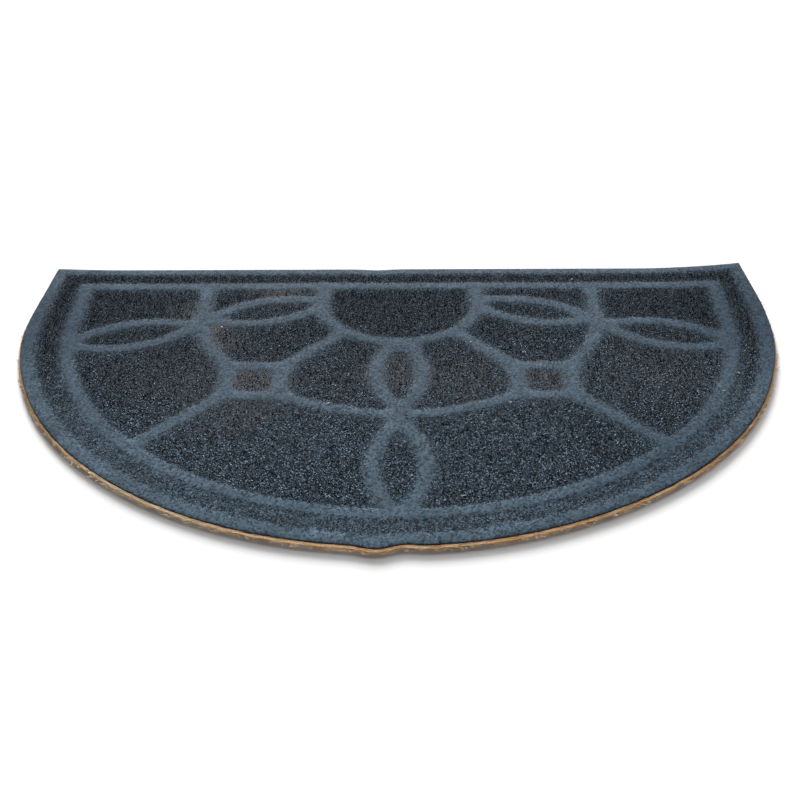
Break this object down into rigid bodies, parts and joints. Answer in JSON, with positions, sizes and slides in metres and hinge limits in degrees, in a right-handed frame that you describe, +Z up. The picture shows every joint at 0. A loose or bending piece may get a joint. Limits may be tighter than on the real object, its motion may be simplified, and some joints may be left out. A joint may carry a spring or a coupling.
{
  "type": "half-round rubber doormat",
  "caption": "Flat half-round doormat with a straight back edge: a moulded rubber sheet with raised ribs over a brown fibre layer.",
  "frame": {"origin": "on the floor, under the middle of the mat's bounding box", "axes": "+X along the straight back edge, to the right as seen from the round front; +Y from the round front towards the straight back edge; +Z up"},
  "size_m": [0.6066, 0.4044, 0.0097],
  "materials": {
    "rubber": "matt moulded rubber, smooth on the rim and ribs and granular in the panels",
    "fibre": "needled coarse brown fibre with a frayed cut edge"
  },
  "bodies": {
    "root": {"rubber_sheet": "rubber", "fibre_layer": "fibre"}
  },
  "joints": []
}
